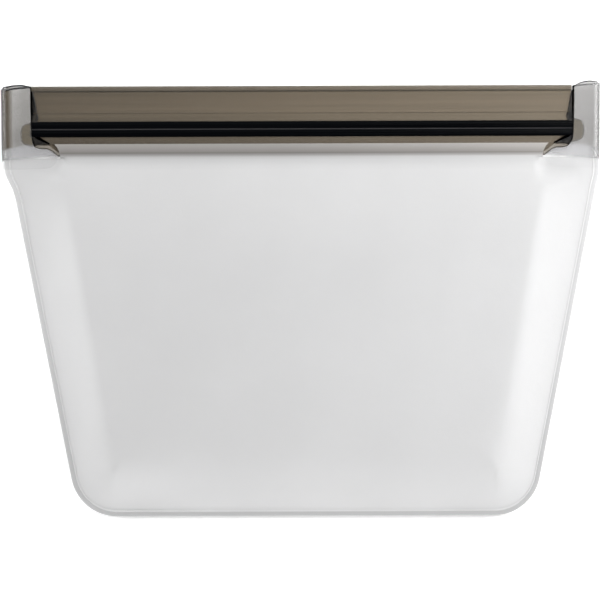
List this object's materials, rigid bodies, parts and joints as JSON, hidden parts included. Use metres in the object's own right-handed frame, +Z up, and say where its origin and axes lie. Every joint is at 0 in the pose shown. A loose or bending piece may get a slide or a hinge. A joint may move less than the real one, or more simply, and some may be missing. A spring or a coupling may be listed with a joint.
{
  "type": "reusable zip-closed food storage bag",
  "caption": "Flat trapezoid food bag of frosted film with a tinted press-to-close zip band across the mouth and a clear moulded cap over each end of the zip.",
  "frame": {"origin": "centre of the footprint, on the surface that the bag lies on", "axes": "+X along the mouth, to the right as the front wall is seen with the mouth at the top; +Y from the bottom seam to the mouth; +Z up through the front wall"},
  "size_m": [0.2118, 0.1542, 0.014],
  "materials": {
    "frosted_film": "frosted translucent film, soft and matt",
    "seam_film": "frosted film, welded double and pressed smooth",
    "tinted_band": "smoke-brown tinted clear band, satin",
    "fused_band": "smoke-brown band, fused double",
    "zip_track": "black, smooth",
    "clear_cap": "clear colourless flexible moulding, glossy"
  },
  "bodies": {
    "seamed_rear": {"rear_panel": "frosted_film", "perimeter_seam": "seam_film", "rear_band": "tinted_band", "rear_upper_rib": "zip_track", "rear_lower_rib": "zip_track", "left_end_cap": "clear_cap", "right_end_cap": "clear_cap", "left_zipper_end": "fused_band", "right_zipper_end": "fused_band"},
    "front_wall": {"front_panel": "frosted_film", "front_band": "tinted_band", "front_upper_channel": "zip_track", "front_lower_channel": "zip_track"}
  },
  "joints": [
    {"name": "front_wall_swing", "type": "hinge", "parent": "seamed_rear", "child": "front_wall", "pos_m": [0, -0.07505, 0.0023], "axis": [1, 0, 0], "range_deg": [0, 16]}
  ]
}
